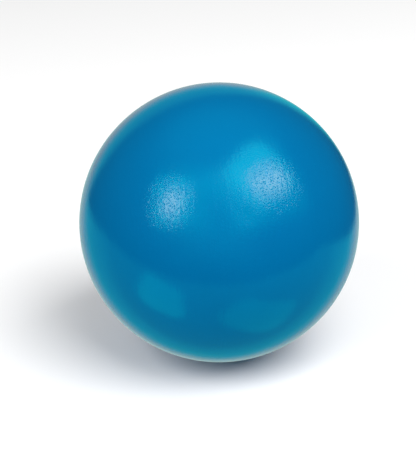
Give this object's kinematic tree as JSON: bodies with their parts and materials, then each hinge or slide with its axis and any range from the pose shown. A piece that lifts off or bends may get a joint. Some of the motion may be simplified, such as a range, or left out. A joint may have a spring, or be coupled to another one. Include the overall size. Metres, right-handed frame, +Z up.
{
  "type": "croquet ball",
  "caption": "Solid-blue croquet ball: a composition core in a glossy moulded shell, made in keyed halves and turned round and smooth.",
  "frame": {"origin": "centre of the ball", "axes": "+X along the lathe axis, from the left half shell's pole to the right half shell's pole; +Z up; the shell halves meet in the plane x = 0"},
  "size_m": [0.092, 0.092, 0.092],
  "materials": {
    "shell": "gloss",
    "core": "matte"
  },
  "bodies": {
    "root": {"cork_core": "core", "left_shell": "shell", "right_shell": "shell"}
  },
  "joints": []
}
